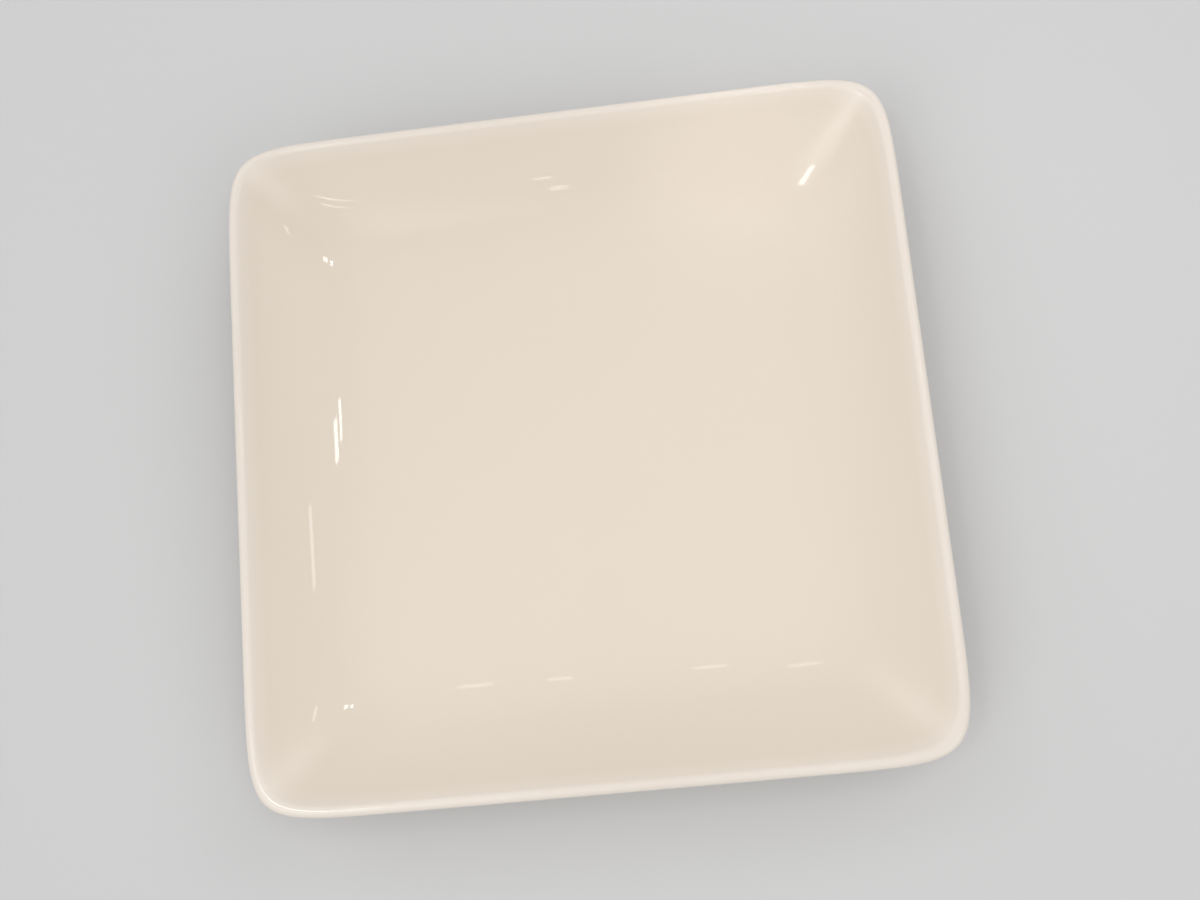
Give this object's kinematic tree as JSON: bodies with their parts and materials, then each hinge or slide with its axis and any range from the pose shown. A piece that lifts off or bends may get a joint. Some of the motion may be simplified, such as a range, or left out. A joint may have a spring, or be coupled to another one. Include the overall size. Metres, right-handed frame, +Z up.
{
  "type": "square dish",
  "caption": "Shallow square dish with a flat well, flared walls, softly rounded corners and a low foot ring, in glossy ivory glaze over fired clay.",
  "frame": {"origin": "middle of the plane that the foot ring stands on", "axes": "+Z up out of the well, +X and +Y along the sides"},
  "size_m": [0.21, 0.21, 0.0259],
  "materials": {
    "clay": "bare fired stoneware, matt, fine grain",
    "ivory_glaze": "smooth glossy ivory glaze"
  },
  "bodies": {
    "root": {"dish_body": "clay", "foot_ring": "clay", "inside_glaze": "ivory_glaze", "outside_glaze": "ivory_glaze", "underside_glaze": "ivory_glaze"}
  },
  "joints": []
}
